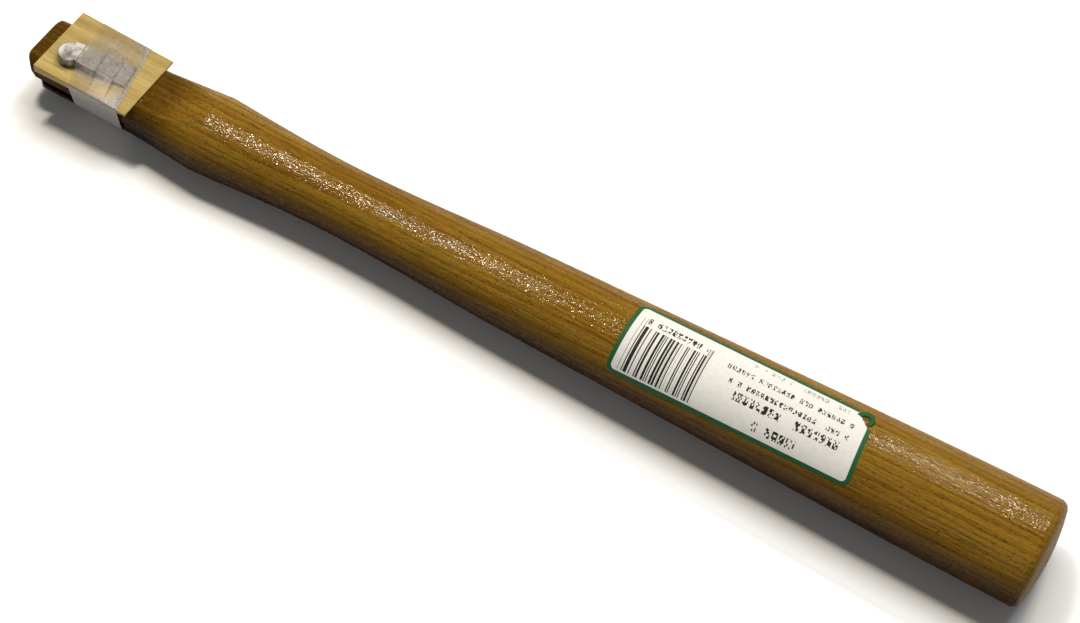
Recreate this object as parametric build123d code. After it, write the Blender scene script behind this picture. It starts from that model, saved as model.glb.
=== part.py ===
from build123d import *
import math
import os

# A replacement handle for a small machinist's hammer, with the two wedges that fix the head.
# Millimetres. The origin is the middle of the tenon's end, on the handle's axis.
# +X runs down the handle to the butt, +Z is up through the wedges, and +Y is across.

# Handle, overall; the blank is longer by a margin at each end, which the end cuts remove
handle_length = 355.6
end_margin = 2.0

# Tenon, which fills an oval eye of 23.0 by 13.5 mm. It is an oval with two flat cheeks,
# and it grows a little towards its root.
tenon_wide = 23.4
tenon_deep = 13.7
tenon_growth_wide = 1.4
tenon_growth_deep = 0.7
cheek_cut = 5.2
tenon_root_at = 42.7
end_corner_radius = 6.0
end_edge_break = 0.6

# Saw kerf that the wood wedge is driven into, and the leaf under it
kerf_width = 2.0
kerf_depth = 39.7
lower_leaf_setback = 4.0

# Shoulder: where it is, and how far it stands out beyond the tenon's root
shoulder_at = 65.0
shoulder_step_wide = 3.6
shoulder_step_deep = 8.2

# Waist and butt: how wide and deep the oval is there
waist_at = 117.2
waist_wide = 23.7
waist_deep = 18.8
butt_wide = 36.7
butt_deep = 29.0
butt_crown = 2.2
butt_edge_radius = 3.2
butt_rim_margin = 0.05

# How the oval narrows from shoulder to waist, and swells from waist to butt:
# each pair is the share of the way along, and the share of the change reached there
hollow_curve = [(0.28, 0.40), (0.65, 0.87)]
swell_curve = [(0.13, 0.17), (0.26, 0.38), (0.42, 0.55), (0.59, 0.72), (0.76, 0.88), (0.89, 0.97)]

# Wood wedge, lying on the tenon's upper cheek
wood_wedge_at = 6.7
wood_wedge_length = 35.0
wood_wedge_wide = 26.7
wood_wedge_thick = 3.2
wood_wedge_thin = 0.8
wood_wedge_aside = -0.6
wood_wedge_edge_break = 0.15

# Steel wedge, lying on the wood wedge: a round thick end, then steps down to the thin end
steel_wedge_at = 14.4
steel_wedge_aside = -4.8
steel_wedge_turn = 9.0
head_radius = 4.0
head_thick = 3.2
head_edge_radius = 0.5
body_aside = 0.9
body_start_wide = 6.8
body_end_wide = 8.8
step_lengths = [6.6, 6.2, 4.4]
step_start_thick = [2.8, 2.0, 1.3]
step_end_thick = [2.4, 1.6, 0.7]
head_notch = 0.6

# Clear tape, one turn round the tenon and over both wedges
tape_width = 18.0
tape_centre_at = 26.6
tape_turn = 11.5
tape_film = 0.1
tape_clearance = 0.06
flank_chords = 5

# Paper label on the upper front of the grip; its width is measured straight across
label_length = 80.8
label_across = 23.8
label_from_butt = 59.5
label_aside = -2.75
label_corner_radius = 3.0
label_paper = 0.12
label_clearance = 0.02


def between(start, end, share):
    return start + (end - start) * share


def tenon_wide_at(x):
    return tenon_wide + tenon_growth_wide * x / tenon_root_at


def tenon_deep_at(x):
    return tenon_deep + tenon_growth_deep * x / tenon_root_at


def cheek_height(x):
    return tenon_deep_at(x) / 2


def oval(x, wide, deep):
    return Plane(origin=(x, 0, 0), x_dir=(0, 1, 0), z_dir=(1, 0, 0)) * Ellipse(wide / 2, deep / 2)


def stretch_ovals(start, end, curve, grow):
    # Ovals between two (x, wide, deep) stations, both of them included
    shares = [(0.0, 0.0)] + curve + [(1.0, 1.0)]
    ovals = []
    for along, change in shares:
        x = between(start[0], end[0], along)
        wide = between(start[1], end[1], change) + 2 * grow
        deep = between(start[2], end[2], change) + 2 * grow
        ovals.append(oval(x, wide, deep))
    return ovals


def shoulder_station():
    wide = tenon_wide_at(tenon_root_at) + shoulder_step_wide
    deep = tenon_deep_at(tenon_root_at) + shoulder_step_deep
    return (shoulder_at, wide, deep)


def waist_station():
    return (waist_at, waist_wide, waist_deep)


def butt_station():
    return (handle_length + end_margin, butt_wide, butt_deep)


def grip_body(grow):
    # The turned oval from the shoulder to past the butt, its surface moved outward by grow
    ovals = stretch_ovals(shoulder_station(), waist_station(), hollow_curve, grow)
    ovals += stretch_ovals(waist_station(), butt_station(), swell_curve, grow)[1:]
    return loft(ovals)


def tenon_oval(x):
    return oval(x, tenon_wide_at(x), tenon_deep_at(x) + cheek_cut)


def tenon_body():
    # The oval from before the tenon's end to the shoulder, before the cheeks are cut
    root = tenon_oval(tenon_root_at)
    parallel = loft([tenon_oval(-end_margin), root], ruled=True)
    flare = loft([root, oval(*shoulder_station())], ruled=True)
    return parallel + flare


def cheek_cutter(side):
    # Removes what is outside one flat cheek; the cheek runs out to the shoulder on an arc
    front = -end_margin - 1
    shoulder_x, shoulder_wide, shoulder_deep = shoulder_station()
    runout_end = (shoulder_x + 1, shoulder_deep / 2 + 0.2)
    root_height = cheek_height(tenon_root_at)
    slope = (root_height - cheek_height(0)) / tenon_root_at
    with BuildPart() as cutter:
        with BuildSketch(Plane.XZ):
            with BuildLine():
                flat = Line((front, cheek_height(front)), (tenon_root_at, root_height))
                TangentArc((tenon_root_at, root_height), runout_end, tangent=(1, slope))
                Polyline(runout_end, (runout_end[0], shoulder_deep), (front, shoulder_deep), flat @ 0)
            make_face()
        extrude(amount=shoulder_wide, both=True)
    if side > 0:
        return cutter.part
    return cutter.part.mirror(Plane.XY)


def end_keeper(x, low, high):
    # What is left of a leaf's end between two heights: square to the axis, with round corners
    wide = tenon_wide_at(x + end_corner_radius)
    reach = tenon_root_at - x
    outline = Pos(x + reach, 0, low) * RectangleRounded(2 * reach, wide, end_corner_radius)
    return extrude(outline, high - low)


def end_cutter(x, low, high):
    # Removes the wood in front of a leaf's end and outside its corners, between two heights
    front = -end_margin - 1
    back = x + end_corner_radius
    block = Pos((front + back) / 2, 0, (low + high) / 2) * Box(back - front, 2 * tenon_wide, high - low)
    return block - end_keeper(x, low, high)


def kerf_cutter():
    front = -end_margin - 1
    return Pos((front + kerf_depth) / 2, 0, 0) * Box(kerf_depth - front, 2 * tenon_wide, kerf_width)


def butt_cutter():
    # Removes what is outside the crowned end and its rounded rim.
    # The cap is turned as a round, then squeezed to the oval.
    rim_at = handle_length - butt_crown
    start = rim_at - 2 * butt_edge_radius
    half = butt_wide / 2 + butt_rim_margin
    crown_radius = (half**2 + butt_crown**2) / (2 * butt_crown)
    with BuildSketch(Plane.XZ) as outline:
        with BuildLine():
            Polyline((handle_length, 0), (start - 1, 0), (start - 1, half), (rim_at, half))
            RadiusArc((rim_at, half), (handle_length, 0), crown_radius)
        make_face()
        rim = outline.vertices().sort_by(Axis.Y)[-2:].sort_by(Axis.X)[-1]
        fillet(rim, butt_edge_radius)
    cap = scale(revolve(outline.sketch, Axis.X), by=(1, 1, butt_deep / butt_wide))
    block = Pos(start + butt_wide / 2, 0, 0) * Box(butt_wide, 2 * butt_wide, 2 * butt_wide)
    return block - cap


def make_handle():
    tenon = tenon_body() - cheek_cutter(1) - cheek_cutter(-1)
    tenon -= end_cutter(0, 0, tenon_wide)
    tenon -= end_cutter(lower_leaf_setback, -tenon_wide, 0)
    tenon -= kerf_cutter()
    for leaf_end in (0, lower_leaf_setback):
        face = tenon.faces().filter_by(Axis.X).filter_by_position(Axis.X, leaf_end - 0.01, leaf_end + 0.01)
        tenon = chamfer(face.edges(), end_edge_break)
    return tenon + (grip_body(0) - butt_cutter())


def wood_wedge_top(x):
    # Height of the wood wedge's upper face at x
    low = cheek_height(wood_wedge_at + wood_wedge_length) + wood_wedge_thin
    high = cheek_height(wood_wedge_at) + wood_wedge_thick
    return between(high, low, (x - wood_wedge_at) / wood_wedge_length)


def make_wood_wedge():
    start = wood_wedge_at
    end = wood_wedge_at + wood_wedge_length
    with BuildPart() as wedge:
        with BuildSketch(Plane.XZ.offset(-wood_wedge_aside)):
            with BuildLine():
                Polyline(
                    (start, cheek_height(start)),
                    (start, wood_wedge_top(start)),
                    (end, wood_wedge_top(end)),
                    (end, cheek_height(end)),
                    close=True,
                )
            make_face()
        extrude(amount=wood_wedge_wide / 2, both=True)
        chamfer(wedge.edges(), wood_wedge_edge_break)
    return wedge.part


def steel_wedge_plane():
    # Lies on the wood wedge's upper face, with X turned towards the thin end
    fall = wood_wedge_top(steel_wedge_at + 1) - wood_wedge_top(steel_wedge_at)
    normal = Vector(-fall, 0, 1).normalized()
    turn = math.radians(steel_wedge_turn)
    along = Vector(math.cos(turn), math.sin(turn), fall * math.cos(turn)).normalized()
    origin = (steel_wedge_at, steel_wedge_aside, wood_wedge_top(steel_wedge_at))
    return Plane(origin=origin, x_dir=along, z_dir=normal)


def steel_wedge_profile():
    # Side view: the head's height, a notch, then one sloping tread for each step
    x = head_radius - head_notch
    points = [(-head_radius - 1, 0), (-head_radius - 1, head_thick), (x, head_thick)]
    for length, start_thick, end_thick in zip(step_lengths, step_start_thick, step_end_thick):
        points.append((x, start_thick))
        x += length
        points.append((x, end_thick))
    points.append((x, 0))
    return points


def make_steel_wedge():
    body_start = head_radius - head_notch
    body_end = body_start + sum(step_lengths)
    with BuildPart() as wedge:
        with BuildSketch():
            Circle(head_radius)
            with BuildLine():
                Polyline(
                    (0, body_aside - body_start_wide / 2),
                    (body_end, body_aside - body_end_wide / 2),
                    (body_end, body_aside + body_end_wide / 2),
                    (0, body_aside + body_start_wide / 2),
                    close=True,
                )
            make_face()
        extrude(amount=head_thick)
        with BuildSketch(Plane.XZ):
            with BuildLine():
                Polyline(*steel_wedge_profile(), close=True)
            make_face()
        extrude(amount=body_end_wide, both=True, mode=Mode.INTERSECT)
        top = wedge.faces().sort_by(Axis.Z)[-1]
        fillet(top.edges().filter_by(GeomType.CIRCLE), head_edge_radius)
    return steel_wedge_plane() * wedge.part


def steel_treads():
    # The corners of the treads: how far along the wedge each is, and how thick the wedge is there
    return steel_wedge_profile()[3:-1]


def steel_tread_line(along):
    # Height at this distance along the wedge of a straight line that clears every tread
    treads = steel_treads()
    slope = (treads[-1][1] - treads[0][1]) / (treads[-1][0] - treads[0][0])
    start = max(thick - slope * x for x, thick in treads)
    return max(start + slope * along, 0)


def steel_edge_on_tape(edge_at, side, gap):
    # Where the tape's edge crosses one side of the steel wedge: the place across, and its height
    turn = math.radians(tape_turn)
    steel_turn = math.radians(steel_wedge_turn)
    ahead = edge_at - steel_wedge_at
    off_line = body_aside + side * (body_end_wide / 2 + gap)
    across = off_line + ahead * math.sin(steel_turn) + steel_wedge_aside * math.cos(steel_turn)
    across /= math.cos(turn - steel_turn)
    x = edge_at - across * math.sin(turn)
    aside = across * math.cos(turn) - steel_wedge_aside
    along = (x - steel_wedge_at) * math.cos(steel_turn) + aside * math.sin(steel_turn)
    return across, wood_wedge_top(x) + steel_tread_line(along) + 2 * gap


def tape_flank(x, side, edge, gap):
    # Points down one side, from under the wood wedge's edge to the lower cheek.
    # The tape runs straight from that edge to the tenon's middle unless the oval is outside that
    # line, and then follows the oval. The points let the chords between them clear the oval.
    half_wide = tenon_wide_at(x) / 2 / math.cos(math.radians(tape_turn)) + gap
    half_deep = (tenon_deep_at(x) + cheek_cut) / 2 + gap
    cheek = cheek_height(x) + gap
    last = math.asin(cheek / half_deep)
    half_wide /= math.cos(last / flank_chords / 2)
    flank = []
    for step in range(-flank_chords, flank_chords + 1):
        angle = last * step / flank_chords
        height = -half_deep * math.sin(angle)
        across = half_wide * math.cos(angle)
        if height > 0:
            across = max(across, between(half_wide, abs(edge), height / cheek))
        flank.append((side * across, height))
    return flank


def tape_section(edge_at, gap):
    # An outline round the tenon and both wedges with this gap, in the slanted plane of one tape edge
    turn = math.radians(tape_turn)
    wood_half = (wood_wedge_wide / 2 + gap) / math.cos(turn)
    thickest_at = edge_at + wood_half * math.sin(turn)
    points = []
    for side in (-1, 1):
        edge = wood_wedge_aside + side * wood_half
        x = edge_at - edge * math.sin(turn)
        run = [steel_edge_on_tape(edge_at, side, gap), (edge, wood_wedge_top(x) + gap)]
        run += tape_flank(thickest_at, side, edge, gap)
        if side < 0:
            run.reverse()
        points += run
    across_tape = (-math.sin(turn), math.cos(turn), 0)
    along_tape = (math.cos(turn), math.sin(turn), 0)
    plane = Plane(origin=(edge_at, 0, 0), x_dir=across_tape, z_dir=along_tape)
    corners = [plane.from_local_coords((across, height)) for across, height in points]
    return Face(Wire.make_polygon(corners, close=True))


def tape_hull(gap):
    half = tape_width / 2 / math.cos(math.radians(tape_turn))
    edges = (tape_centre_at - half, tape_centre_at + half)
    return loft([tape_section(edge_at, gap) for edge_at in edges], ruled=True)


def make_tape_band():
    return tape_hull(tape_clearance + tape_film) - tape_hull(tape_clearance)


def swell_share(x):
    # The share of the grip's widening from waist to butt that is reached at x
    end_x = butt_station()[0]
    share = (x - waist_at) / (end_x - waist_at)
    points = [(0.0, 0.0)] + swell_curve + [(1.0, 1.0)]
    for low, high in zip(points, points[1:]):
        if share <= high[0]:
            return between(low[1], high[1], (share - low[0]) / (high[0] - low[0]))
    return 1.0


def make_label():
    # A sheet that follows the grip, cut to the label's outline along the label's own normal
    middle = handle_length - label_from_butt - label_length / 2
    half_wide = between(waist_wide, butt_wide, swell_share(middle)) / 2
    half_deep = between(waist_deep, butt_deep, swell_share(middle)) / 2
    edges = []
    for side in (-1, 1):
        across = label_aside + side * label_across / 2
        edges.append(Vector(middle, across, half_deep * math.sqrt(1 - (across / half_wide) ** 2)))
    chord = edges[1] - edges[0]
    outward = Vector(1, 0, 0).cross(chord).normalized()
    plane = Plane(origin=(edges[0] + edges[1]) / 2, x_dir=(1, 0, 0), z_dir=outward)
    outline = RectangleRounded(label_length, chord.length, label_corner_radius)
    window = extrude(plane * Pos(0, 0, -label_corner_radius) * outline, butt_deep, dir=outward)
    sheet = grip_body(label_clearance + label_paper) - grip_body(label_clearance)
    return sheet & window


os.makedirs("parts", exist_ok=True)
export_step(make_handle(), "parts/handle.step")
export_step(make_wood_wedge(), "parts/wood_wedge.step")
export_step(make_steel_wedge(), "parts/steel_wedge.step")
export_step(make_tape_band(), "parts/tape_band.step")
export_step(make_label(), "parts/label.step")
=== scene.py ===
import math
import bpy
import numpy as np
from mathutils import Matrix, Vector, noise
from mathutils.geometry import convex_hull_2d


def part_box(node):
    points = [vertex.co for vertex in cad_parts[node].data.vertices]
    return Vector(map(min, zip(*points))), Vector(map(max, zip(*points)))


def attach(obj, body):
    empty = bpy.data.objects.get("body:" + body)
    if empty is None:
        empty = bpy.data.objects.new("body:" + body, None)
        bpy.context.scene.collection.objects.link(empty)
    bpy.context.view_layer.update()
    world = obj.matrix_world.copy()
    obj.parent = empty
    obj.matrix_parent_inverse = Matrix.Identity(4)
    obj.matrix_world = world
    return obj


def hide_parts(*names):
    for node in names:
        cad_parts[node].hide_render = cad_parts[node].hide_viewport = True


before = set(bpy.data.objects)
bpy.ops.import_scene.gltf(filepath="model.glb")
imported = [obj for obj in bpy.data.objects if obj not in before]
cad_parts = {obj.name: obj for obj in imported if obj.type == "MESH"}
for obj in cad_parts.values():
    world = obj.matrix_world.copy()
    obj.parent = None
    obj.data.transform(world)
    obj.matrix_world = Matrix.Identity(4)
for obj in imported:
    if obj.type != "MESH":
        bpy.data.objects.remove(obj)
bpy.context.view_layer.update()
print("frame loaded")

mm = 0.001  # the frame is in metres, and sizes below are in millimetres
scene = bpy.context.scene
scene.view_settings.view_transform = "Standard"
scene.view_settings.look = "None"


# Small tools

def linearColour(hexCode):
    # sRGB hex to the linear values that shaders use
    values = []
    for place in (0, 2, 4):
        share = int(hexCode[place:place + 2], 16) / 255
        if share <= 0.04045:
            values.append(share / 12.92)
        else:
            values.append(((share + 0.055) / 1.055) ** 2.4)
    return (*values, 1.0)


def addNode(tree, kind, settings=None, links=None):
    # One node, with its settings, and its inputs given as sockets or plain values
    made = tree.nodes.new(kind)
    for name, value in (settings or {}).items():
        if name == "stops":
            ramp = made.color_ramp
            while len(ramp.elements) < len(value):
                ramp.elements.new(0.5)
            for element, (place, colour) in zip(ramp.elements, value):
                element.position = place
                element.color = linearColour(colour)
        else:
            setattr(made, name, value)
    for socket, source in (links or {}).items():
        if isinstance(source, bpy.types.NodeSocket):
            tree.links.new(source, made.inputs[socket])
        else:
            made.inputs[socket].default_value = source
    return made


def newMaterial(name, settings):
    # A material with one Principled shader, its plain values set on its own sockets
    material = bpy.data.materials.new(name)
    material.use_nodes = True
    tree = material.node_tree
    tree.nodes.clear()
    shader = addNode(tree, "ShaderNodeBsdfPrincipled", None, settings)
    addNode(tree, "ShaderNodeOutputMaterial", None, {"Surface": shader.outputs[0]})
    return material, tree, shader


def positionInMm(tree):
    # The point on the piece, in millimetres along its own axes
    place = addNode(tree, "ShaderNodeTexCoord")
    scaled = addNode(tree, "ShaderNodeVectorMath", {"operation": "SCALE"},
                     {0: place.outputs["Object"], "Scale": 1 / mm})
    return scaled.outputs[0]


def stretchedNoise(tree, position, lengths, detail=2.0, roughness=0.5):
    # Noise whose blobs are about these lengths in millimetres along x, y and z
    scaled = addNode(tree, "ShaderNodeVectorMath", {"operation": "DIVIDE"},
                     {0: position, 1: lengths})
    blobs = addNode(tree, "ShaderNodeTexNoise", None, {
        "Vector": scaled.outputs[0], "Scale": 1.0, "Detail": detail, "Roughness": roughness})
    return blobs.outputs[0]


def meshPiece(name, points, faces, material):
    mesh = bpy.data.meshes.new(name)
    mesh.from_pydata([tuple(p) for p in points], [], faces)
    mesh.materials.append(material)
    mesh.update()
    for polygon in mesh.polygons:
        polygon.use_smooth = True
    piece = bpy.data.objects.new(name, mesh)
    scene.collection.objects.link(piece)
    return piece


def gridFaces(rows, columns):
    faces = []
    for row in range(rows - 1):
        for column in range(columns - 1):
            first = row * columns + column
            faces.append((first, first + 1, first + columns + 1, first + columns))
    return faces


def bake(piece):
    # Applies the piece's modifiers to its mesh
    graph = bpy.context.evaluated_depsgraph_get()
    mesh = bpy.data.meshes.new_from_object(piece.evaluated_get(graph))
    piece.modifiers.clear()
    piece.data = mesh


# Camera, looking down on the handle from the near side

cameraSetup = {
    "aim": (0.18704, -0.00261, -0.0015),
    "distance": 0.7342,
    "azimuth": 24.33,  # degrees from -Y towards +X
    "elevation": 54.51,
    "roll": 6.77,
    "lens": 80.03,
    "sensor": 36.0,
    "clipStart": 0.05,
    "clipEnd": 20,
}


def makeCamera(setup):
    azimuth, elevation, roll = (math.radians(setup[key]) for key in ("azimuth", "elevation", "roll"))
    look = Vector((-math.sin(azimuth) * math.cos(elevation),
                   math.cos(azimuth) * math.cos(elevation),
                   -math.sin(elevation)))
    level = look.cross(Vector((0, 0, 1))).normalized()
    upright = level.cross(look)
    right = math.cos(roll) * level + math.sin(roll) * upright
    up = right.cross(look)
    data = bpy.data.cameras.new("camera")
    data.lens = setup["lens"]
    data.sensor_width = setup["sensor"]
    data.sensor_fit = "HORIZONTAL"
    data.clip_start = setup["clipStart"]
    data.clip_end = setup["clipEnd"]
    camera = bpy.data.objects.new("camera", data)
    turn = Matrix((right, up, -look)).transposed().to_4x4()
    camera.matrix_world = Matrix.Translation(Vector(setup["aim"]) - look * setup["distance"]) @ turn
    scene.collection.objects.link(camera)
    scene.camera = camera


makeCamera(cameraSetup)
print("camera set")


# Floor and light

floorSetup = {
    "size": 6.0,
    "ramp": [(0.3, "f2f2f1"), (0.7, "f7f7f6")],
    "mottleLengths": (60.0, 60.0, 60.0),
    "roughness": 0.7,
}

lightSetup = {
    "lamps": {
        # The soft lamp doesn't show in the gloss, and the narrow ones make the glints
        "softLamp": {
            "from": (-0.50, 0.60, 1.30), "to": (0.60, 0.60, 1.30), "wide": 0.5,
            "watts": 16.5, "colour": "fafcff", "shines": False,
        },
        "leftLamp": {
            "from": (-0.45, 0.22, 1.38), "to": (-0.27, 0.39, 1.36), "wide": 0.04,
            "watts": 10.0, "colour": "fff4e0", "shines": True,
        },
        "rightLamp": {
            "from": (0.05, 1.06, 1.36), "to": (0.36, 1.14, 1.34), "wide": 0.04,
            "watts": 9.0, "colour": "fff4e0", "shines": True,
        },
        "frontLamp": {
            "from": (-0.20, -0.95, 0.90), "to": (0.70, -0.95, 0.90), "wide": 0.03,
            "watts": 0.9, "colour": "ffffff", "shines": True,
        },
    },
    # The sky's strength at its top and at its rim, and the heights between which it changes
    "skyTop": 0.10,
    "skyRim": 0.14,
    "skyHeights": (0.05, 0.6),
}


def restLine(handle):
    # The two points that the handle rests on: the ends of its lower outline's edge below its middle
    outline = [(v.co.x, v.co.z) for v in handle.data.vertices]
    order = convex_hull_2d([Vector(p) for p in outline])
    middle = sum(p[0] for p in outline) / len(outline)
    best = None
    for first, second in zip(order, order[1:] + order[:1]):
        a, b = outline[first], outline[second]
        if min(a[0], b[0]) <= middle <= max(a[0], b[0]) and a[1] < 0:
            best = (a, b)
    return sorted(best)


def makeFloor(setup, handle):
    (startX, startZ), (endX, endZ) = restLine(handle)
    slope = (endZ - startZ) / (endX - startX)
    half = setup["size"] / 2
    middle = (startX + endX) / 2
    points = []
    for x, y in ((-half, -half), (half, -half), (half, half), (-half, half)):
        points.append((middle + x, y, startZ + slope * (middle + x - startX)))
    # Board with a matt white face, very slightly uneven
    material, tree, shader = newMaterial("matt white board", {"Roughness": setup["roughness"]})
    mottle = stretchedNoise(tree, positionInMm(tree), setup["mottleLengths"])
    ramp = addNode(tree, "ShaderNodeValToRGB", {"stops": setup["ramp"]}, {0: mottle})
    tree.links.new(ramp.outputs[0], shader.inputs["Base Color"])
    floor = meshPiece("floor", points, [(0, 1, 2, 3)], material)


def makeTube(name, setup, aim):
    # A long narrow light between two points, turned to face the aim
    start, end = Vector(setup["from"]), Vector(setup["to"])
    data = bpy.data.lights.new(name, "AREA")
    data.shape = "RECTANGLE"
    data.size = (end - start).length
    data.size_y = setup["wide"]
    data.energy = setup["watts"]
    data.color = linearColour(setup["colour"])[:3]
    light = bpy.data.objects.new(name, data)
    light.visible_glossy = setup["shines"]
    middle = (start + end) / 2
    along = (end - start).normalized()
    back = middle - aim
    back = (back - along * back.dot(along)).normalized()
    turn = Matrix((along, back.cross(along), back)).transposed().to_4x4()
    light.matrix_world = Matrix.Translation(middle) @ turn
    scene.collection.objects.link(light)


def makeSky(setup):
    # A dim room overhead, brighter towards the walls
    world = bpy.data.worlds.new("studio")
    world.use_nodes = True
    tree = world.node_tree
    direction = addNode(tree, "ShaderNodeTexCoord")
    axes = addNode(tree, "ShaderNodeSeparateXYZ", None, {0: direction.outputs["Generated"]})
    low, high = setup["skyHeights"]
    level = addNode(tree, "ShaderNodeMapRange", None,
                    {0: axes.outputs[2], 1: low, 2: high, 3: setup["skyRim"], 4: setup["skyTop"]})
    tree.links.new(level.outputs[0], tree.nodes["Background"].inputs["Strength"])
    tree.nodes["Background"].inputs["Color"].default_value = (1, 1, 1, 1)
    scene.world = world


makeFloor(floorSetup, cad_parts["handle"])
makeSky(lightSetup)
handleLow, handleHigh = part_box("handle")
handleMiddle = (handleLow + handleHigh) / 2
for lampName, lampSetup in lightSetup["lamps"].items():
    makeTube(lampName, lampSetup, handleMiddle)
print("floor and lights set")


# Handle

handleLook = {
    "ringCentre": (0.0, -170.0, -90.0),
    "ringSpacing": 2.1,
    "ringWander": 2.4,
    "ringWanderLengths": (260.0, 5.0, 5.0),
    "ringRamp": [(0.0, "7e5e1c"), (0.2, "8a6921"), (0.5, "917025"), (0.85, "977528"), (1.0, "8a6921")],
    "streakLengths": (20.0, 0.4, 0.4),
    "streakRamp": [(0.30, "b4a488"), (0.48, "ebe6da"), (0.70, "ffffff")],
    "poreLengths": (1.3, 0.26, 0.26),
    "poreLevels": (0.61, 0.68),
    "poreDepth": 0.65,
    "poreEarly": 0.09,  # how much the start of a ring adds to the pores, fading by this share of it
    "earlyEnds": 0.4,
    "poreSink": 0.35,
    "tintLengths": (90.0, 7.0, 7.0),
    "tintRamp": [(0.32, "e2d4ba"), (0.5, "f4f1e8"), (0.68, "ffffff")],
    "pore": "3a2408",
    "endGrain": "86683a",
    "endFacing": (0.6, 0.9),
    "endDepth": 0.8,
    # Painted shade in part: the tenon is darkened both for the lacquer it soaked up and for shade
    # under the wedges
    "tenonSoakAndShade": "b0a888",
    "tenonFades": (44.0, 64.0),  # along the handle
    # Painted shade: the lower side of the grip is darkened all round
    "paintedLowShade": "7a6850",
    "paintedShadeFades": (-1.0, 9.0),  # in height
    "rippleLengths": (0.9, 0.5, 0.5),
    "rippleHeight": 0.00013,
    "wetLengths": (1.2, 0.5, 0.5),
    "wetLevels": (0.46, 0.66),
    "wetness": (0.16, 0.42, 1.0),  # the least, and the most on the sides and on the top
    "topFacing": (0.8, 0.96),
    "roughness": (0.42, 0.6),
    "roughLevels": (0.3, 0.7),
}


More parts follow.
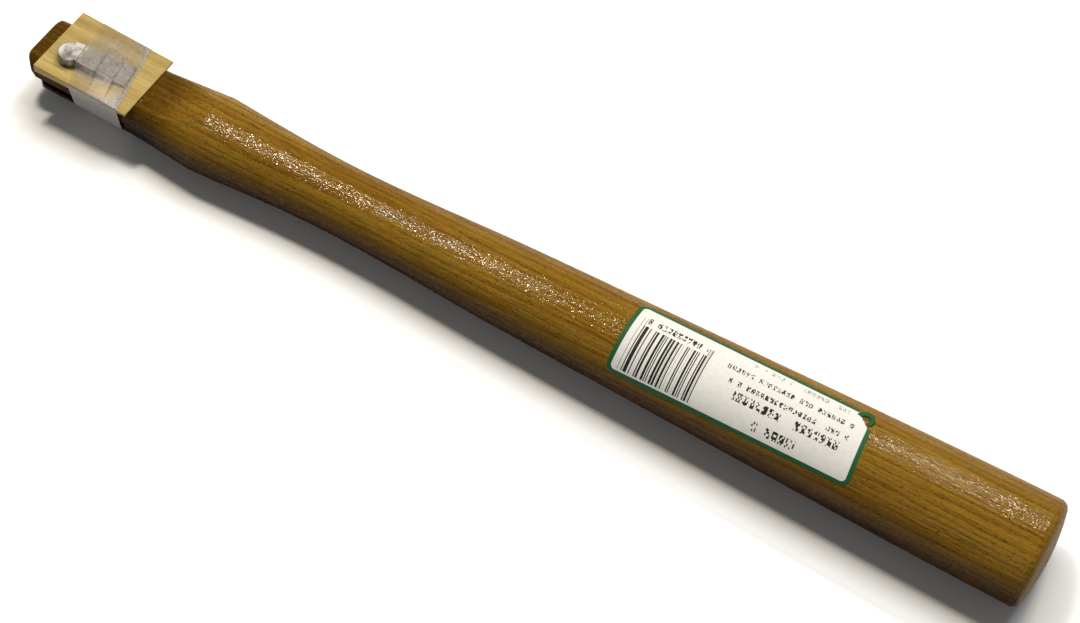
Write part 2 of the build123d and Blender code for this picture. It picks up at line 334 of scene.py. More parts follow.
def lacqueredHickory(look):
    # Hickory, turned and sanded, then dipped in a clear lacquer: golden brown with dark open pores
    # along the grain, and a wet gloss that the grain under it breaks into glints.
    material, tree, shader = newMaterial("lacquered hickory", {
        "IOR": 1.5, "Specular IOR Level": 0.0, "Coat Roughness": 0.09, "Coat IOR": 1.5})
    position = positionInMm(tree)
    # Growth rings, as tubes round a centre outside the handle, that wander along the grain
    fromCentre = addNode(tree, "ShaderNodeVectorMath", {"operation": "SUBTRACT"},
                         {0: position, 1: look["ringCentre"]})
    acrossGrain = addNode(tree, "ShaderNodeVectorMath", {"operation": "MULTIPLY"},
                          {0: fromCentre.outputs[0], 1: (0.0, 1.0, 1.0)})
    radius = addNode(tree, "ShaderNodeVectorMath", {"operation": "LENGTH"},
                     {0: acrossGrain.outputs[0]})
    wander = stretchedNoise(tree, position, look["ringWanderLengths"], 3.0)
    wandered = addNode(tree, "ShaderNodeMath", {"operation": "MULTIPLY_ADD"},
                       {0: wander, 1: look["ringWander"] * 2, 2: radius.outputs["Value"]})
    turns = addNode(tree, "ShaderNodeMath", {"operation": "DIVIDE"},
                    {0: wandered.outputs[0], 1: look["ringSpacing"]})
    ring = addNode(tree, "ShaderNodeMath", {"operation": "FRACT"}, {0: turns.outputs[0]})
    colour = addNode(tree, "ShaderNodeValToRGB", {"stops": look["ringRamp"]}, {0: ring.outputs[0]})
    # Fine fibre streaks, and slow changes of tint
    streak = stretchedNoise(tree, position, look["streakLengths"], 4.0, 0.6)
    streakRamp = addNode(tree, "ShaderNodeValToRGB", {"stops": look["streakRamp"]}, {0: streak})
    streaked = addNode(tree, "ShaderNodeMix", {"data_type": "RGBA", "blend_type": "MULTIPLY"},
                       {0: 1.0, 6: colour.outputs[0], 7: streakRamp.outputs[0]})
    tint = stretchedNoise(tree, position, look["tintLengths"])
    tintRamp = addNode(tree, "ShaderNodeValToRGB", {"stops": look["tintRamp"]}, {0: tint})
    tinted = addNode(tree, "ShaderNodeMix", {"data_type": "RGBA", "blend_type": "MULTIPLY"},
                     {0: 1.0, 6: streaked.outputs[2], 7: tintRamp.outputs[0]})
    # Pores: short dark dashes, thickest in the early part of each ring
    pore = stretchedNoise(tree, position, look["poreLengths"], 1.0)
    early = addNode(tree, "ShaderNodeMapRange", None,
                    {0: ring.outputs[0], 1: 0.0, 2: look["earlyEnds"], 3: look["poreEarly"], 4: 0.0})
    poreLevel = addNode(tree, "ShaderNodeMath", {"operation": "ADD"}, {0: pore, 1: early.outputs[0]})
    low, high = look["poreLevels"]
    poreMask = addNode(tree, "ShaderNodeMapRange", None,
                       {0: poreLevel.outputs[0], 1: low, 2: high, 3: 0.0, 4: look["poreDepth"]})
    pored = addNode(tree, "ShaderNodeMix", {"data_type": "RGBA"},
                    {0: poreMask.outputs[0], 6: tinted.outputs[2], 7: linearColour(look["pore"])})
    # The tenon is darker, partly from the lacquer it took up and partly as painted shade under the
    # wedges, and the lower side is darkened as painted shade
    axes = addNode(tree, "ShaderNodeSeparateXYZ", None, {0: position})
    low, high = look["tenonFades"]
    onTenon = addNode(tree, "ShaderNodeMapRange", {"interpolation_type": "SMOOTHSTEP"},
                      {0: axes.outputs[0], 1: low, 2: high, 3: 1.0, 4: 0.0})
    tenon = addNode(tree, "ShaderNodeMix", {"data_type": "RGBA", "blend_type": "MULTIPLY"},
                    {0: onTenon.outputs[0], 6: pored.outputs[2], 7: linearColour(look["tenonSoakAndShade"])})
    # Painted shade: darker towards the bottom of the grip, on every side
    low, high = look["paintedShadeFades"]
    below = addNode(tree, "ShaderNodeMapRange", {"interpolation_type": "SMOOTHSTEP"},
                    {0: axes.outputs[2], 1: low, 2: high, 3: 1.0, 4: 0.0})
    shaded = addNode(tree, "ShaderNodeMix", {"data_type": "RGBA", "blend_type": "MULTIPLY"},
                     {0: below.outputs[0], 6: tenon.outputs[2], 7: linearColour(look["paintedLowShade"])})
    # End grain drinks the lacquer and goes dull
    facing = addNode(tree, "ShaderNodeNewGeometry")
    facingAxes = addNode(tree, "ShaderNodeSeparateXYZ", None, {0: facing.outputs["Normal"]})
    endness = addNode(tree, "ShaderNodeMath", {"operation": "ABSOLUTE"}, {0: facingAxes.outputs[0]})
    low, high = look["endFacing"]
    endMask = addNode(tree, "ShaderNodeMapRange", None,
                      {0: endness.outputs[0], 1: low, 2: high, 3: 0.0, 4: look["endDepth"]})
    finished = addNode(tree, "ShaderNodeMix", {"data_type": "RGBA"},
                       {0: endMask.outputs[0], 6: shaded.outputs[2],
                        7: linearColour(look["endGrain"])})
    tree.links.new(finished.outputs[2], shader.inputs["Base Color"])
    # The lacquer sinks into the pores and ripples, which scatters the gloss
    ripple = stretchedNoise(tree, position, look["rippleLengths"], 1.0)
    height = addNode(tree, "ShaderNodeMath", {"operation": "MULTIPLY_ADD"},
                     {0: poreMask.outputs[0], 1: -look["poreSink"], 2: ripple})
    bump = addNode(tree, "ShaderNodeBump", None,
                   {"Strength": 1.0, "Distance": look["rippleHeight"], "Height": height.outputs[0]})
    # It lies in patches, thickest on the top
    least, mostOnSides, mostOnTop = look["wetness"]
    low, high = look["topFacing"]
    wettest = addNode(tree, "ShaderNodeMapRange", None,
                      {0: facingAxes.outputs[2], 1: low, 2: high, 3: mostOnSides, 4: mostOnTop})
    wet = stretchedNoise(tree, position, look["wetLengths"])
    low, high = look["wetLevels"]
    wetness = addNode(tree, "ShaderNodeMapRange", None,
                      {0: wet, 1: low, 2: high, 3: least, 4: wettest.outputs[0]})
    tree.links.new(wetness.outputs[0], shader.inputs["Coat Weight"])
    tree.links.new(bump.outputs[0], shader.inputs["Normal"])
    tree.links.new(bump.outputs[0], shader.inputs["Coat Normal"])
    smoothest, roughest = look["roughness"]
    low, high = look["roughLevels"]
    rough = addNode(tree, "ShaderNodeMapRange", None,
                    {0: streak, 1: low, 2: high, 3: smoothest, 4: roughest})
    tree.links.new(rough.outputs[0], shader.inputs["Roughness"])
    return material


def setMaterial(node, material):
    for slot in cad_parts[node].material_slots:
        slot.material = material


setMaterial("handle", lacqueredHickory(handleLook))
print("handle finished")


# Wood wedge

wedgeLook = {
    "ramp": [(0.3, "98844e"), (0.5, "a99358"), (0.7, "bda868")],
    "bandLengths": (60.0, 3.5, 3.5),
    "fibreRamp": [(0.30, "cfc4ac"), (0.48, "f6f2e6"), (0.66, "ffffff")],
    "fibreLengths": (14.0, 0.35, 0.35),
    "fuzzHeight": 0.00006,
    "roughness": (0.55, 0.8),
    "roughLevels": (0.3, 0.7),
}


def sawnPoplar(look):
    # Poplar, sawn and not finished: pale olive yellow, dry and matt, with fine straight fibres
    material, tree, shader = newMaterial("sawn poplar", {"IOR": 1.45})
    position = positionInMm(tree)
    band = stretchedNoise(tree, position, look["bandLengths"], 3.0)
    fibre = stretchedNoise(tree, position, look["fibreLengths"], 4.0, 0.65)
    colour = addNode(tree, "ShaderNodeValToRGB", {"stops": look["ramp"]}, {0: band})
    fibreRamp = addNode(tree, "ShaderNodeValToRGB", {"stops": look["fibreRamp"]}, {0: fibre})
    mixed = addNode(tree, "ShaderNodeMix", {"data_type": "RGBA", "blend_type": "MULTIPLY"},
                    {0: 1.0, 6: colour.outputs[0], 7: fibreRamp.outputs[0]})
    tree.links.new(mixed.outputs[2], shader.inputs["Base Color"])
    smoothest, roughest = look["roughness"]
    low, high = look["roughLevels"]
    rough = addNode(tree, "ShaderNodeMapRange", None,
                    {0: fibre, 1: low, 2: high, 3: smoothest, 4: roughest})
    tree.links.new(rough.outputs[0], shader.inputs["Roughness"])
    bump = addNode(tree, "ShaderNodeBump", None,
                   {"Strength": 1.0, "Distance": look["fuzzHeight"], "Height": fibre})
    tree.links.new(bump.outputs[0], shader.inputs["Normal"])
    return material


setMaterial("wood_wedge", sawnPoplar(wedgeLook))
print("wood wedge finished")


# Steel wedge

steelLook = {
    "head": [(0.36, "6f6f6f"), (0.5, "949494"), (0.64, "bebebd")],
    # Painted shade: the body's tones are darker for the tape that lies over it
    "body": [(0.35, "605f5d"), (0.5, "727170"), (0.65, "8a8986")],
    "headEnds": 18.3,  # along the handle, with how far the two tones overlap to each side
    "headBlend": 0.5,
    "mottleLengths": (3.4, 3.4, 3.4),
    "scratchLengths": (3.0, 0.12, 0.5),
    "dentHeight": 0.00003,
    "roughness": (0.42, 0.6),
    "roughLevels": (0.3, 0.7),
}


def pressedSteel(look):
    # Soft steel, pressed to shape and tumbled: mottled, with a fine satin blur. The round head is
    # brighter than the stepped body, whose colour is darkened as painted shade for the tape over it.
    material, tree, shader = newMaterial("tumbled steel", {"Metallic": 1.0})
    position = positionInMm(tree)
    mottle = stretchedNoise(tree, position, look["mottleLengths"], 3.0)
    scratch = stretchedNoise(tree, position, look["scratchLengths"])
    head = addNode(tree, "ShaderNodeValToRGB", {"stops": look["head"]}, {0: mottle})
    body = addNode(tree, "ShaderNodeValToRGB", {"stops": look["body"]}, {0: mottle})
    axes = addNode(tree, "ShaderNodeSeparateXYZ", None, {0: position})
    low, high = look["headEnds"] - look["headBlend"], look["headEnds"] + look["headBlend"]
    onBody = addNode(tree, "ShaderNodeMapRange", None,
                     {0: axes.outputs[0], 1: low, 2: high, 3: 0.0, 4: 1.0})
    colour = addNode(tree, "ShaderNodeMix", {"data_type": "RGBA"},
                     {0: onBody.outputs[0], 6: head.outputs[0], 7: body.outputs[0]})
    tree.links.new(colour.outputs[2], shader.inputs["Base Color"])
    smoothest, roughest = look["roughness"]
    low, high = look["roughLevels"]
    rough = addNode(tree, "ShaderNodeMapRange", None,
                    {0: scratch, 1: low, 2: high, 3: smoothest, 4: roughest})
    tree.links.new(rough.outputs[0], shader.inputs["Roughness"])
    bump = addNode(tree, "ShaderNodeBump", None,
                   {"Strength": 1.0, "Distance": look["dentHeight"], "Height": mottle})
    tree.links.new(bump.outputs[0], shader.inputs["Normal"])
    return material


setMaterial("steel_wedge", pressedSteel(steelLook))
print("steel wedge finished")


# Clear tape, wound once round the tenon and over both wedges

tapeSetup = {
    "width": 18.0,
    "turn": 11.5,  # degrees that the winding leans
    "centreAt": 26.6,
    "film": 0.05,
    "gap": 0.07,  # from what it covers to the middle of the film
    "lapGap": 0.02,  # between the two layers of the lap
    "rows": 91,
    "slopeColumns": 26,  # on each side, between the wood wedge's edge and the steel wedge
    "steelColumns": 30,
    "roundColumns": 130,  # down one side, under the tenon and up the other side
    "lapColumns": 14,  # where the end laps over the start, under the tenon
    "cornerLean": 0.2,  # how much height counts in finding the wood wedge's edges
    "bridge": 0.5,  # how far the film spans beyond a step before it comes down
    "smoothings": 4,
    "crease": 0.06,
    "creaseLengths": (0.9, 4.5, 4.5),
    # Creases are full in the middle of the top, fade within this reach, and are slight elsewhere
    "creaseMiddle": -4,
    "creaseReach": 11,
    "topAbove": 8,
    "creaseElsewhere": 0.15,
    "creaseBelow": 0.3,
}

tapeLook = {
    "clear": "fdfcfa",
    "haze": [(0.30, "86807c"), (0.70, "c4c0be")],
    "speckLengths": (0.6, 0.6, 0.6),
    "cloudLengths": (3.5, 5.0, 5.0),
    "middle": (26.0, -1.5, 11.0),
    "reach": (11.0, 13.0, 30.0),
    "reachFades": (0.45, 1.1),
    "standing": (0.22, 0.03),  # haze near the steel wedge and away from it
    "noiseLevels": (0.35, 0.65),
    "cloudSpread": (0.45, 1.3),
    "speckSpread": (0.75, 1.25),
    "sideHaze": 0.5,
    "sideHeights": (8.6, 9.2),
    "rippleLengths": (1.6, 3.4, 3.4),
    "rippleHeight": 0.00003,
    "mirrorPower": 4.0,
    "mirrorEdge": 0.5,
    "mirrorFace": 0.02,
}


def clearCellulose(look):
    # Clear cellulose tape, pulled tight by hand: mostly see-through, greyer where it stands off
    # what it covers, with a soft gloss that gets stronger at low angles
    material = bpy.data.materials.new("clear cellulose tape")
    material.use_nodes = True
    tree = material.node_tree
    tree.nodes.clear()
    position = positionInMm(tree)
    cloud = stretchedNoise(tree, position, look["cloudLengths"], 4.0, 0.6)
    speck = stretchedNoise(tree, position, look["speckLengths"], 2.0, 0.6)
    hazeColour = addNode(tree, "ShaderNodeValToRGB", {"stops": look["haze"]}, {0: speck})
    haze = addNode(tree, "ShaderNodeBsdfPrincipled", None,
                   {"Base Color": hazeColour.outputs[0], "Roughness": 0.45, "IOR": 1.46})
    clear = addNode(tree, "ShaderNodeBsdfTransparent", None, {"Color": linearColour(look["clear"])})
    # Where the film stands off: round the steel wedge
    fromMiddle = addNode(tree, "ShaderNodeVectorMath", {"operation": "SUBTRACT"},
                         {0: position, 1: look["middle"]})
    scaled = addNode(tree, "ShaderNodeVectorMath", {"operation": "DIVIDE"},
                     {0: fromMiddle.outputs[0], 1: look["reach"]})
    away = addNode(tree, "ShaderNodeVectorMath", {"operation": "LENGTH"}, {0: scaled.outputs[0]})
    near, far = look["standing"]
    low, high = look["reachFades"]
    standing = addNode(tree, "ShaderNodeMapRange", None,
                       {0: away.outputs["Value"], 1: low, 2: high, 3: near, 4: far})
    # In patches and specks
    low, high = look["noiseLevels"]
    amount = standing.outputs[0]
    for pattern, (least, most) in ((cloud, look["cloudSpread"]), (speck, look["speckSpread"])):
        spread = addNode(tree, "ShaderNodeMapRange", None,
                         {0: pattern, 1: low, 2: high, 3: least, 4: most})
        amount = addNode(tree, "ShaderNodeMath", {"operation": "MULTIPLY"},
                         {0: amount, 1: spread.outputs[0]}).outputs[0]
    # Down the sides it bridges a gap, so it is greyer there
    axes = addNode(tree, "ShaderNodeSeparateXYZ", None, {0: position})
    low, high = look["sideHeights"]
    side = addNode(tree, "ShaderNodeMapRange", None,
                   {0: axes.outputs[2], 1: low, 2: high, 3: look["sideHaze"], 4: 0.0})
    amount = addNode(tree, "ShaderNodeMath", {"operation": "ADD"}, {0: amount, 1: side.outputs[0]})
    body = addNode(tree, "ShaderNodeMixShader", None,
                   {0: amount.outputs[0], 1: clear.outputs[0], 2: haze.outputs[0]})
    ripple = stretchedNoise(tree, position, look["rippleLengths"])
    bump = addNode(tree, "ShaderNodeBump", None,
                   {"Strength": 1.0, "Distance": look["rippleHeight"], "Height": ripple})
    gloss = addNode(tree, "ShaderNodeBsdfGlossy", None,
                    {"Roughness": 0.36, "Normal": bump.outputs[0]})
    slant = addNode(tree, "ShaderNodeLayerWeight")
    steep = addNode(tree, "ShaderNodeMath", {"operation": "POWER"},
                    {0: slant.outputs["Facing"], 1: look["mirrorPower"]})
    mirror = addNode(tree, "ShaderNodeMath", {"operation": "MULTIPLY_ADD"},
                     {0: steep.outputs[0], 1: look["mirrorEdge"], 2: look["mirrorFace"]})
    whole = addNode(tree, "ShaderNodeMixShader", None,
                    {0: mirror.outputs[0], 1: body.outputs[0], 2: gloss.outputs[0]})
    addNode(tree, "ShaderNodeOutputMaterial", None, {"Surface": whole.outputs[0]})
    return material


def nodeEdges(node):
    # A CAD node's points in millimetres, and its edges
    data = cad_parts[node].data
    points = np.array([v.co for v in data.vertices]) / mm
    return points, np.array([tuple(edge.vertices) for edge in data.edges])


def cutPoints(mesh, origin, normal, across):
    # Where a plane cuts the mesh's edges, as (across, height)
    points, edges = mesh
    side = (points - origin) @ normal
    first, second = side[edges[:, 0]], side[edges[:, 1]]
    cut = first * second < 0
    share = (first[cut] / (first[cut] - second[cut]))[:, None]
    start, end = points[edges[cut, 0]], points[edges[cut, 1]]
    crossing = start + (end - start) * share
    return np.stack([(crossing - origin) @ across, crossing[:, 2]], axis=1)


def pathBetween(path, count):
    # Points evenly spaced along a path
    along = np.concatenate([[0], np.cumsum(np.linalg.norm(np.diff(path, axis=0), axis=1))])
    even = np.linspace(0, along[-1], count)
    return np.stack([np.interp(even, along, path[:, 0]), np.interp(even, along, path[:, 1])], axis=1)


def tapeRow(cuts, steelSides, setup):
    # The tight outline round one section, in columns: from the wood wedge's far edge down and
    # round to its near edge, then over the top
    points = np.concatenate(cuts)
    order = convex_hull_2d([Vector(p) for p in points])
    hull = points[order]
    following = np.roll(hull, -1, axis=0)
    if np.sum(hull[:, 0] * following[:, 1] - following[:, 0] * hull[:, 1]) > 0:
        hull = hull[::-1]  # now it runs down the far side, under, and up the near side
    lean = setup["cornerLean"]
    far = np.argmax(hull[:, 0] + lean * hull[:, 1])
    hull = np.roll(hull, -far, axis=0)
    near = np.argmax(lean * hull[:, 1] - hull[:, 0])
    under = pathBetween(hull[:near + 1], setup["roundColumns"])
    top = np.concatenate([hull[near:], hull[:1]])
    stops = [top[0, 0], steelSides[0], steelSides[1], top[-1, 0]]
    counts = (setup["slopeColumns"], setup["steelColumns"], setup["slopeColumns"])
    over = []
    for start, end, count in zip(stops, stops[1:], counts):
        for u in np.linspace(start, end, count)[1:]:
            over.append((u, np.interp(u, top[:, 0], top[:, 1])))
    return np.concatenate([under, np.array(over)[:-1]])


def makeTape(setup, look):
    turn = math.radians(setup["turn"])
    across = np.array([-math.sin(turn), math.cos(turn), 0])
    normal = np.array([math.cos(turn), math.sin(turn), 0])
    handle, wood, steel = (nodeEdges(node) for node in ("handle", "wood_wedge", "steel_wedge"))
    half = setup["width"] / 2 / math.cos(turn)
    places = np.linspace(setup["centreAt"] - half, setup["centreAt"] + half, setup["rows"])
    rows = []
    steelSides = None
    for place in places:
        cuts = []
        for shift in (-setup["bridge"], 0, setup["bridge"]):
            origin = np.array([place + shift, 0, 0])
            steelCut = cutPoints(steel, origin, normal, across)
            cuts.append(cutPoints(handle, origin, normal, across))
            cuts.append(cutPoints(wood, origin, normal, across))
            cuts.append(steelCut)
            if len(steelCut) and shift == 0:
                steelSides = (steelCut[:, 0].min(), steelCut[:, 0].max())
        rows.append(tapeRow(cuts, steelSides, setup))
    rows = np.array(rows)
    # The film is a little stiff along the handle, so it rounds off the steps but never sinks in
    tight = rows[:, :, 1].copy()
    top = slice(setup["roundColumns"], None)
    for _ in range(setup["smoothings"]):
        rows[1:-1] = (rows[:-2] + 2 * rows[1:-1] + rows[2:]) / 4
    rows[:, top, 1] = np.maximum(rows[:, top, 1], tight[:, top])

    # One turn from under the tenon, then the lap, which ends a film further out than the start
    columns = rows.shape[1]
    count = columns + setup["lapColumns"]
    index = np.arange(count) % columns
    middle = setup["roundColumns"] // 2
    travel = np.linspace(0, 1, count)
    gap = setup["gap"] + (setup["film"] + setup["lapGap"]) * travel
    points = []
    for row, place in zip(rows, places):
        ring = np.roll(row, -middle, axis=0)
        ring = np.concatenate([ring, ring[:1]])
        run = ring[(index + 1) % columns] - ring[(index - 1) % columns]
        out = np.stack([-run[:, 1], run[:, 0]], axis=1) / np.linalg.norm(run, axis=1)[:, None]
        for u, z in ring[index] + out * gap[:, None]:
            x, y, _ = np.array([place, 0, 0]) + across * u
            points.append(Vector((x, y, z)))

    # Small creases run along the film where nothing holds it down
    longX, longY, longZ = setup["creaseLengths"]
    shaped = []
    for point in points:
        value = noise.noise(Vector((point.x / longX, point.y / longY, point.z / longZ)))
        free = setup["creaseElsewhere"]
        if point.z > setup["topAbove"]:
            free = max(0, 1 - abs(point.y - setup["creaseMiddle"]) / setup["creaseReach"])
        lift = setup["crease"] * max(value, 0) * free
        if point.z <= 0:
            lift *= -setup["creaseBelow"]
        shaped.append((point + Vector((0, 0, lift))) * mm)
    tape = meshPiece("clear_tape", shaped, gridFaces(setup["rows"], count), clearCellulose(look))
    skin = tape.modifiers.new("film", "SOLIDIFY")
    skin.thickness = setup["film"] * mm
    skin.offset = 0
    bake(tape)
    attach(tape, "root")
    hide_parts("tape_band")


makeTape(tapeSetup, tapeLook)
print("tape wound")


# Label

labelSetup = {
    "paper": 0.10,
    "lift": 0.03,
    "cornerRadius": 3.0,
    "cornerStep": 6,  # degrees between rows on a round corner
    "tearRows": 24,
    "rows": 159,
    "columns": 61,
    "border": 1.45,
    "skew": 0.03,  # how much shorter its far edge runs, from how it wraps the swelling grip
    "edgeInset": 0.27,  # from the CAD label's box in to its long edges
    "tearLong": 6.2,
    "tearWide": 6.6,
    "tearRagged": 0.5,
    "tearRise": 1.25,
    "tearBend": 0.8,
    "tearFray": 6,
    "curlRadius": 2.1,
    "curlWide": 1.6,
    "curlFrom": 165,  # degrees round the torn-off curl of border
    "curlTo": -50,
    "curlSteps": 26,
    "curlHeight": 0.5,
    "curlTilt": 0.4,  # how much higher its outer edge stands
    "curlInset": (0.1, 0.5),  # in from the label's end and its far edge
    "curlRagged": 0.3,
}

labelLook = {
    "paper": "dedcd6",
    "paperLow": "d4d2cc",
    "green": "14522b",
    "ink": "1c1c1c",
    # Rows of marks: start, end, low and high on the label; the pitch of the letters, with the
    # share of it that is written; strokes in a letter, rows of cells, share kept, strength
    "marks": [
        (3.6, 27.6, 2.1, 17.8, 1.36, 0.80, 4, 1, 1.0, 1.0),
        (3.6, 4.9, 17.8, 20.8, 1.36, 0.80, 4, 1, 1.0, 1.0),
        (26.3, 27.6, 17.8, 20.8, 1.36, 0.80, 4, 1, 1.0, 1.0),
        (5.4, 25.8, 18.9, 21.3, 1.70, 0.76, 5, 4, 0.86, 1.0),
        (43.6, 61.8, 3.0, 5.9, 2.27, 0.76, 5, 4, 0.86, 1.0),
        (39.0, 74.0, 8.8, 11.6, 2.12, 0.76, 5, 4, 0.86, 1.0),
        (35.8, 76.4, 13.1, 14.8, 1.55, 0.76, 5, 4, 0.86, 1.0),
        (33.4, 76.0, 17.4, 19.2, 1.52, 0.76, 5, 4, 0.86, 1.0),
        (40.5, 72.5, 22.2, 23.8, 1.50, 0.76, 5, 4, 0.86, 0.6),
    ],
    "barSeed": 3.0,
    "inkedShare": 0.56,
    "borderBlur": 0.06,
    "fibreLengths": (1.6, 0.8, 0.8),
    "fibreLevels": (0.3, 0.7),
    "fibreHeight": 0.000015,
    "roughness": (0.5, 0.62),
}


def gripOval(low, high):
    # Half width and half depth of the grip's oval between two places, each a cubic in x, fitted
    # to the grip's own points: y*y/(a*a) + z*z/(b*b) = 1 at each of them
    points = np.array([v.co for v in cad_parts["handle"].data.vertices])
    margin = 2 * mm
    points = points[(points[:, 0] > low - margin) & (points[:, 0] < high + margin)]
    middle = (low + high) / 2
    powers = np.stack([((points[:, 0] - middle) / (high - low)) ** n for n in range(4)], axis=1)
    table = np.concatenate([powers * points[:, 1:2] ** 2, powers * points[:, 2:3] ** 2], axis=1)
    fit = np.linalg.lstsq(table, np.ones(len(points)), rcond=None)[0]

    def oval(x):
        power = np.array([((x - middle) / (high - low)) ** n for n in range(4)])
        return 1 / math.sqrt(power @ fit[:4]), 1 / math.sqrt(power @ fit[4:])

    return oval


def labelSurface(rows, columns, inset):
    # Points on the grip under the label, evenly spaced along it and across its curve, with the
    # normal at each; rows run along the handle and columns from the near side to the far side
    low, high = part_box("label")
    oval = gripOval(low.x, high.x)
    halfWide, halfDeep = oval((low.x + high.x) / 2)
    ends = []
    for y in (low.y + inset, high.y - inset):
        ends.append(np.array([y, halfDeep * math.sqrt(1 - (y / halfWide) ** 2)]))
    chord = ends[1] - ends[0]
    outward = np.array([-chord[1], chord[0]]) / np.linalg.norm(chord)
    points = np.zeros((rows, columns, 3))
    normals = np.zeros((rows, columns, 3))
    for row in range(rows):
        x = low.x + (high.x - low.x) * row / (rows - 1)
        wide, deep = oval(x)
        # The outline runs straight down onto the grip, so each end is where a line along the
        # label's outward direction meets the oval
        angles = []
        for end in ends:
            start = end / (wide, deep)
            step = outward / (wide, deep)
            a, b, c = step @ step, start @ step, start @ start - 1
            reach = (-b + math.sqrt(b * b - a * c)) / a
            angles.append(math.atan2(*(start + step * reach)))
        fine = np.linspace(angles[0], angles[1], 200)
        curve = np.stack([wide * np.sin(fine), deep * np.cos(fine)], axis=1)
        along = np.concatenate([[0], np.cumsum(np.linalg.norm(np.diff(curve, axis=0), axis=1))])
        even = np.interp(np.linspace(0, along[-1], columns), along, fine)
        line = [np.full(columns, x), wide * np.sin(even), deep * np.cos(even)]
        points[row] = np.stack(line, axis=1)
        facing = np.stack([np.zeros(columns), np.sin(even) / wide, np.cos(even) / deep], axis=1)
        normals[row] = facing / np.linalg.norm(facing, axis=1)[:, None]
    return points, normals


def rowOfMarks(tree, along, across, mark, seed, inkedShare):
    # The ink of one row of marks: its strength on a mark and 0 off it. The marks are random
    # strokes, so they say nothing.
    start, end, low, high, pitch, written, strokes, cells, kept, strength = mark
    inLength = addNode(tree, "ShaderNodeMath", {"operation": "COMPARE"},
                       {0: along, 1: (start + end) / 2, 2: (end - start) / 2})
    inHeight = addNode(tree, "ShaderNodeMath", {"operation": "COMPARE"},
                       {0: across, 1: (low + high) / 2, 2: (high - low) / 2})
    # A gap after each letter, and now and then a whole letter left out
    inPitch = addNode(tree, "ShaderNodeMath", {"operation": "MODULO"}, {0: along, 1: pitch})
    inLetter = addNode(tree, "ShaderNodeMath", {"operation": "LESS_THAN"},
                       {0: inPitch.outputs[0], 1: pitch * written})
    letter = addNode(tree, "ShaderNodeMath", {"operation": "SNAP"}, {0: along, 1: pitch})
    letterCell = addNode(tree, "ShaderNodeCombineXYZ", None,
                         {0: letter.outputs[0], 1: 9.0, 2: seed})
    letterDraw = addNode(tree, "ShaderNodeTexWhiteNoise", None, {0: letterCell.outputs[0]})
    hasLetter = addNode(tree, "ShaderNodeMath", {"operation": "LESS_THAN"},
                        {0: letterDraw.outputs[0], 1: kept})
    stroke = addNode(tree, "ShaderNodeMath", {"operation": "SNAP"}, {0: along, 1: pitch / strokes})
    if cells == 1:
        level = addNode(tree, "ShaderNodeValue")  # a bar is one stroke from low to high
    else:
        level = addNode(tree, "ShaderNodeMath", {"operation": "SNAP"},
                        {0: across, 1: (high - low) / cells})
    strokeCell = addNode(tree, "ShaderNodeCombineXYZ", None,
                         {0: stroke.outputs[0], 1: level.outputs[0], 2: seed + 0.5})
    strokeDraw = addNode(tree, "ShaderNodeTexWhiteNoise", None, {0: strokeCell.outputs[0]})
    hasStroke = addNode(tree, "ShaderNodeMath", {"operation": "LESS_THAN"},
                        {0: strokeDraw.outputs[0], 1: inkedShare})
    ink = addNode(tree, "ShaderNodeMath", {"operation": "MULTIPLY"},
                  {0: hasStroke.outputs[0], 1: strength})
    for limit in (inLength, inHeight, inLetter, hasLetter):
        ink = addNode(tree, "ShaderNodeMath", {"operation": "MULTIPLY"},
                      {0: ink.outputs[0], 1: limit.outputs[0]})
    return ink


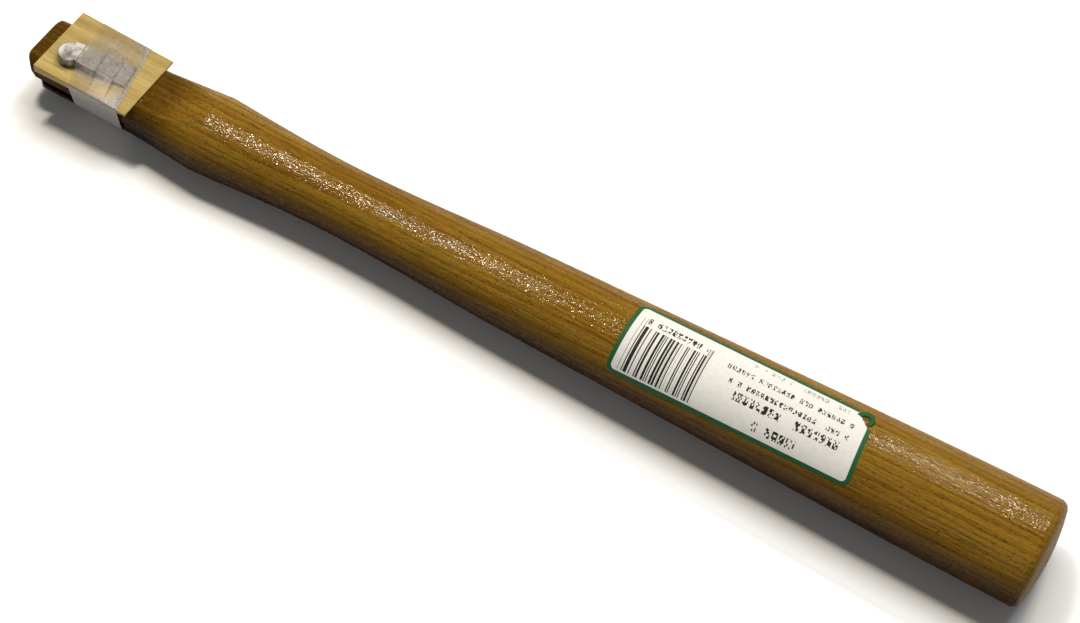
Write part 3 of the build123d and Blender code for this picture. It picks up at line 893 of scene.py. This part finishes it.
def printedPaper(look, setup, size):
    # Coated label paper, thermally printed: off-white with a faint sheen, with a green border,
    # a row of bars and lines of small marks
    material, tree, shader = newMaterial("coated label paper", {
        "IOR": 1.5, "Specular IOR Level": 0.3})
    length, width = size
    place = addNode(tree, "ShaderNodeUVMap", {"uv_map": "print"})
    spot = addNode(tree, "ShaderNodeVectorMath", {"operation": "MULTIPLY"},
                   {0: place.outputs[0], 1: (length, width, 0)})
    axes = addNode(tree, "ShaderNodeSeparateXYZ", None, {0: spot.outputs[0]})
    along, across = axes.outputs[0], axes.outputs[1]
    ink = None
    for index, mark in enumerate(look["marks"]):
        seed = look["barSeed"] if mark[7] == 1 else float(index + 10)
        more = rowOfMarks(tree, along, across, mark, seed, look["inkedShare"])
        if ink:
            more = addNode(tree, "ShaderNodeMath", {"operation": "MAXIMUM"},
                           {0: ink.outputs[0], 1: more.outputs[0]})
        ink = more

    # Distance in from a rectangle with round corners, for the border
    fromMiddle = addNode(tree, "ShaderNodeVectorMath", {"operation": "SUBTRACT"},
                         {0: spot.outputs[0], 1: (length / 2, width / 2, 0)})
    folded = addNode(tree, "ShaderNodeVectorMath", {"operation": "ABSOLUTE"},
                     {0: fromMiddle.outputs[0]})
    border = setup["border"]
    radius = setup["cornerRadius"] - border
    straight = (length / 2 - border - radius, width / 2 - border - radius, 0)
    past = addNode(tree, "ShaderNodeVectorMath", {"operation": "SUBTRACT"},
                   {0: folded.outputs[0], 1: straight})
    outside = addNode(tree, "ShaderNodeVectorMath", {"operation": "MAXIMUM"},
                      {0: past.outputs[0], 1: (0, 0, 0)})
    away = addNode(tree, "ShaderNodeVectorMath", {"operation": "LENGTH"}, {0: outside.outputs[0]})
    blur = look["borderBlur"]
    inBorder = addNode(tree, "ShaderNodeMapRange", None,
                       {0: away.outputs["Value"], 1: radius - blur, 2: radius + blur, 3: 0.0, 4: 1.0})

    fibre = stretchedNoise(tree, positionInMm(tree), look["fibreLengths"], 3.0)
    low, high = look["fibreLevels"]
    paper = addNode(tree, "ShaderNodeValToRGB",
                    {"stops": [(low, look["paperLow"]), (high, look["paper"])]}, {0: fibre})
    inked = addNode(tree, "ShaderNodeMix", {"data_type": "RGBA"},
                    {0: ink.outputs[0], 6: paper.outputs[0], 7: linearColour(look["ink"])})
    bordered = addNode(tree, "ShaderNodeMix", {"data_type": "RGBA"},
                       {0: inBorder.outputs[0], 6: inked.outputs[2], 7: linearColour(look["green"])})
    tree.links.new(bordered.outputs[2], shader.inputs["Base Color"])
    least, most = look["roughness"]
    rough = addNode(tree, "ShaderNodeMapRange", None, {0: fibre, 1: low, 2: high, 3: least, 4: most})
    tree.links.new(rough.outputs[0], shader.inputs["Roughness"])
    bump = addNode(tree, "ShaderNodeBump", None,
                   {"Strength": 1.0, "Distance": look["fibreHeight"], "Height": fibre})
    tree.links.new(bump.outputs[0], shader.inputs["Normal"])
    return material


def tornBack(along, length, setup):
    # How far the torn corner is cut back from the far edge, this far along
    start = length - setup["tearLong"]
    if along < start:
        return 0
    share = (along - start) / setup["tearLong"]
    coarse = noise.noise(Vector((along * 1.9, 3.1, 0)))
    fine = noise.noise(Vector((along * 5.3, 0, 7.7)))
    ragged = coarse + 0.6 * fine
    cut = setup["tearWide"] * min(1, share * setup["tearRise"]) ** setup["tearBend"]
    return cut + setup["tearRagged"] * ragged * min(1, share * setup["tearFray"])


def makeLabel(setup, look):
    rows, columns = setup["rows"], setup["columns"]
    points, normals = labelSurface(rows, columns, setup["edgeInset"] * mm)
    length = np.linalg.norm(points[-1, columns // 2] - points[0, columns // 2]) / mm
    width = np.sum(np.linalg.norm(np.diff(points[rows // 2], axis=0), axis=1)) / mm
    print("label", round(length, 2), "by", round(width, 2), "mm")
    radius = setup["cornerRadius"]

    def spot(along, across, height):
        # A point this far along and across the label, lifted off the grip
        skewed = along * (1 - setup["skew"] * across / width)
        row = min(max(skewed / length * (rows - 1), 0), rows - 1.001)
        column = min(max(across / width * (columns - 1), 0), columns - 1.001)
        i, j = int(row), int(column)
        s, t = row - i, column - j
        place, facing = (
            (grid[i, j] * (1 - s) + grid[i + 1, j] * s) * (1 - t)
            + (grid[i, j + 1] * (1 - s) + grid[i + 1, j + 1] * s) * t
            for grid in (points, normals)
        )
        return Vector(place + facing * height * mm)

    # Rows close up at the round corners and at the tear
    angles = range(0, 91, setup["cornerStep"])
    stops = [radius * (1 - math.cos(math.radians(angle))) for angle in angles]
    tear = length - setup["tearLong"]
    alongs = stops + list(np.linspace(radius, tear, rows - 2))[1:]
    alongs += list(np.linspace(tear, length - radius, setup["tearRows"]))[1:-1]
    alongs += [length - stop for stop in reversed(stops)]
    vertices, prints = [], []
    for along in alongs:
        nearEnd = min(along, length - along)
        trim = radius - math.sqrt(max(radius**2 - (radius - min(nearEnd, radius)) ** 2, 0))
        far = width - max(trim, tornBack(along, length, setup))
        for column in range(columns):
            across = trim + (far - trim) * column / (columns - 1)
            vertices.append(spot(along, across, setup["lift"]))
            prints.append((along / length, across / width))
    faces = gridFaces(len(alongs), columns)

    # The torn-off corner of the border, curled up where the label ends
    first = len(vertices)
    steps = setup["curlSteps"]
    halfWide = setup["curlWide"] / 2
    insetEnd, insetEdge = setup["curlInset"]
    centreAlong = length - setup["curlRadius"] - halfWide - insetEnd
    centreAcross = width - setup["curlRadius"] - halfWide - insetEdge
    inGreen = (0.5, 0.6 / width)  # a place in the printed border
    for step in range(steps):
        share = step / (steps - 1)
        angle = math.radians(setup["curlFrom"] + (setup["curlTo"] - setup["curlFrom"]) * share)
        ragged = 0.5 * noise.noise(Vector((share * 9, 5.5, 0)))
        bulge = setup["curlHeight"] * math.sin(math.pi * share) ** 2
        height = setup["lift"] + setup["paper"] + bulge
        for side in (-1, 0, 1):
            reach = setup["curlRadius"] + side * (halfWide + setup["curlRagged"] * ragged)
            along = centreAlong + reach * math.cos(angle)
            across = centreAcross + reach * math.sin(angle)
            vertices.append(spot(along, across, height * (1 + setup["curlTilt"] * side)))
            prints.append(inGreen)
    for face in gridFaces(steps, 3):
        faces.append(tuple(first + corner for corner in reversed(face)))
    paper = printedPaper(look, setup, (length, width))
    label = meshPiece("paper_label", vertices, faces, paper)
    layer = label.data.uv_layers.new(name="print")
    for loop in label.data.loops:
        layer.data[loop.index].uv = prints[loop.vertex_index]
    skin = label.modifiers.new("paper", "SOLIDIFY")
    skin.thickness = setup["paper"] * mm
    skin.offset = 1
    bake(label)
    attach(label, "root")
    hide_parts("label")


makeLabel(labelSetup, labelLook)
print("label stuck on")
